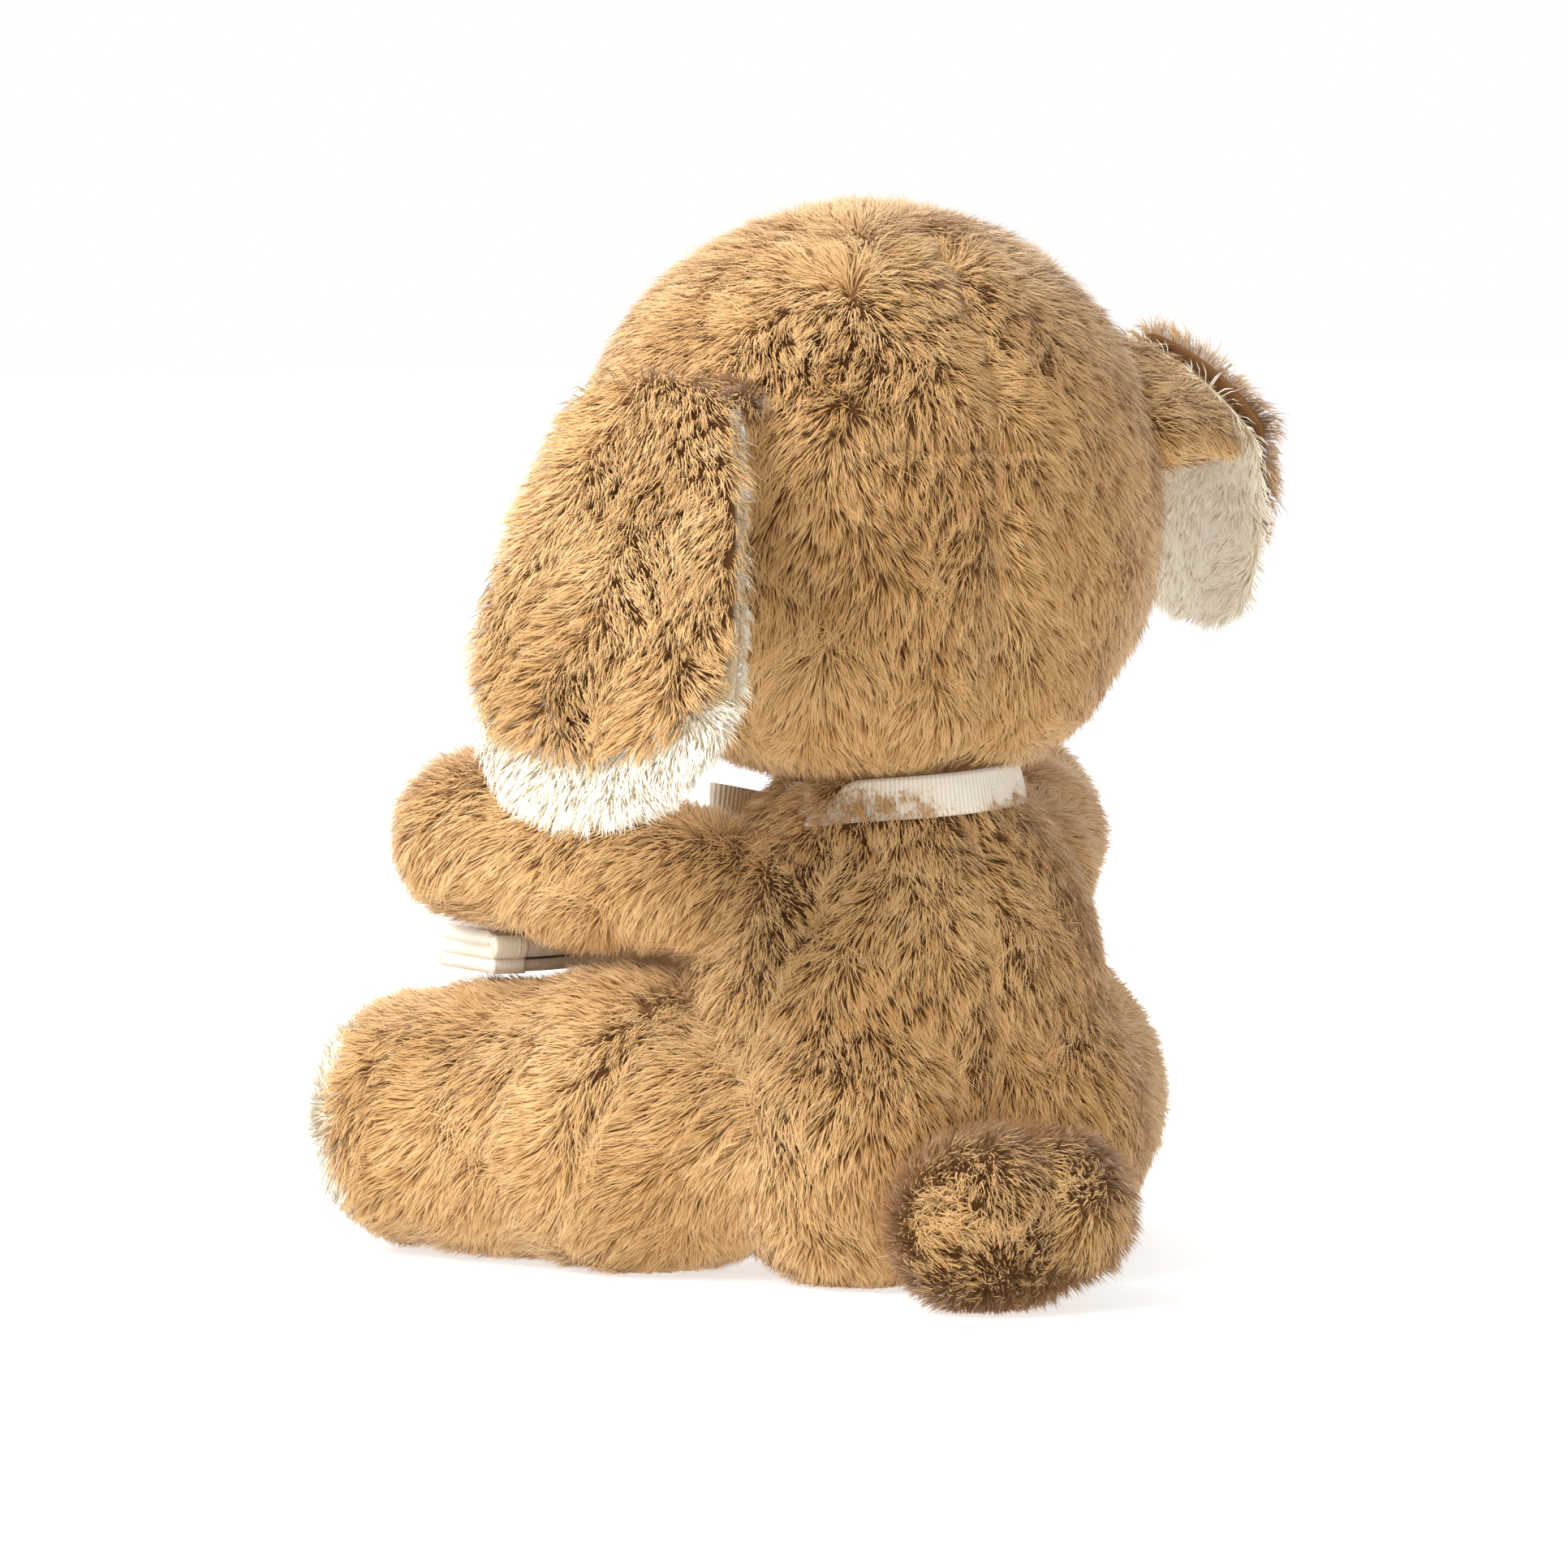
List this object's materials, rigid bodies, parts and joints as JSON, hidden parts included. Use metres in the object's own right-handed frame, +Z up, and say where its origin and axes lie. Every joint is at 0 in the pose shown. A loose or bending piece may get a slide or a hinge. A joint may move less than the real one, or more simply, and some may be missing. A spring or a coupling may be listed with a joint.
{
  "type": "plush dog",
  "caption": "Seated plush puppy with drooping cream-lined ears, a ribbon round its neck and a small folded comfort blanket held across its lap.",
  "frame": {"origin": "middle of the seated footprint, on the surface it sits on", "axes": "+Z up, -Y the way the dog faces, +X its left side"},
  "size_m": [0.2392, 0.204, 0.252],
  "materials": {
    "plush": "long golden brown pile, 6 to 8 mm, soft and matt",
    "cream_plush": "long cream pile, soft and matt",
    "stuffing": "white polyester fibre, loosely packed",
    "satin": "ribbed cream ribbon with a soft sheen",
    "fleece": "short cream fleece",
    "pellet_cloth": "plain woven bag of plastic pellets",
    "dark_plastic": "very dark brown, polished",
    "clear_plastic": "milky moulded plastic",
    "nose_fabric": "dark brown embroidered felt"
  },
  "bodies": {
    "torso": {"seat_panel": "plush", "belly_panel": "plush", "back_panel_left": "plush", "back_panel_right": "plush", "torso_stuffing": "stuffing", "pellet_bag": "pellet_cloth", "neck_ribbon": "satin", "bow_knot": "satin", "bow_loop_left": "satin", "bow_loop_right": "satin", "bow_tail_left": "satin", "bow_tail_right": "satin"},
    "neck": {"neck_stuffing": "stuffing"},
    "head": {"head_panel_left": "plush", "head_panel_right": "plush", "head_stuffing": "stuffing", "muzzle_skin": "cream_plush", "muzzle_stuffing": "stuffing", "nose": "nose_fabric", "eye_left": "dark_plastic", "eye_right": "dark_plastic", "eye_washer_left": "clear_plastic", "eye_washer_right": "clear_plastic"},
    "ear_left": {"ear_lining_left": "cream_plush", "ear_outer_left": "plush"},
    "ear_right": {"ear_lining_right": "cream_plush", "ear_outer_right": "plush"},
    "arm_left": {"arm_skin_left": "plush", "arm_stuffing_left": "stuffing", "blanket_panel": "fleece", "blanket_binding_left": "satin", "blanket_binding_right": "satin"},
    "arm_right": {"arm_skin_right": "plush", "arm_stuffing_right": "stuffing"},
    "leg_left": {"leg_skin_left": "plush", "leg_stuffing_left": "stuffing", "foot_sole_left": "cream_plush"},
    "leg_right": {"leg_skin_right": "plush", "leg_stuffing_right": "stuffing", "foot_sole_right": "cream_plush"},
    "tail": {"tail_skin": "plush", "tail_stuffing": "stuffing"}
  },
  "joints": [
    {"name": "head_turn", "type": "hinge", "parent": "torso", "child": "neck", "pos_m": [0.00286, -0.00302, 0.13], "axis": [0, 0, 1], "range_deg": [-30, 30], "stiffness_Nm_per_rad": 0.4},
    {"name": "head_nod", "type": "hinge", "parent": "neck", "child": "head", "pos_m": [0.00286, -0.00302, 0.13], "axis": [1, 0, 0], "range_deg": [-12, 12], "stiffness_Nm_per_rad": 0.8},
    {"name": "ear_left_flap", "type": "hinge", "parent": "head", "child": "ear_left", "pos_m": [0.07186, 0.01798, 0.2055], "axis": [0.4695, -0.8829, 0], "range_deg": [0, 60], "stiffness_Nm_per_rad": 0.06},
    {"name": "ear_right_drop", "type": "hinge", "parent": "head", "child": "ear_right", "pos_m": [-0.07214, 0.01798, 0.2055], "axis": [0.582, -0.3214, -0.747], "range_deg": [0, 75], "stiffness_Nm_per_rad": 0.06},
    {"name": "arm_left_swing", "type": "hinge", "parent": "torso", "child": "arm_left", "pos_m": [0.04486, -0.00502, 0.091], "axis": [-1, 0, 0], "range_deg": [0, 20], "stiffness_Nm_per_rad": 0.15},
    {"name": "arm_right_swing", "type": "hinge", "parent": "torso", "child": "arm_right", "pos_m": [-0.03914, -0.00502, 0.091], "axis": [-1, 0, 0], "range_deg": [0, 20], "stiffness_Nm_per_rad": 0.15},
    {"name": "leg_left_splay", "type": "hinge", "parent": "torso", "child": "leg_left", "pos_m": [0.03486, 0.00898, 0.037], "axis": [0, 0, 1], "range_deg": [-5, 20], "stiffness_Nm_per_rad": 0.4},
    {"name": "leg_right_splay", "type": "hinge", "parent": "torso", "child": "leg_right", "pos_m": [-0.02914, 0.00898, 0.037], "axis": [0, 0, -1], "range_deg": [-5, 20], "stiffness_Nm_per_rad": 0.4},
    {"name": "tail_wag", "type": "hinge", "parent": "torso", "child": "tail", "pos_m": [0.00286, 0.05898, 0.024], "axis": [0, 0, 1], "range_deg": [-12, 12], "stiffness_Nm_per_rad": 0.06}
  ],
  "couplings": [
    {"joint": "arm_right_swing", "follows": "arm_left_swing", "ratio": 1}
  ]
}
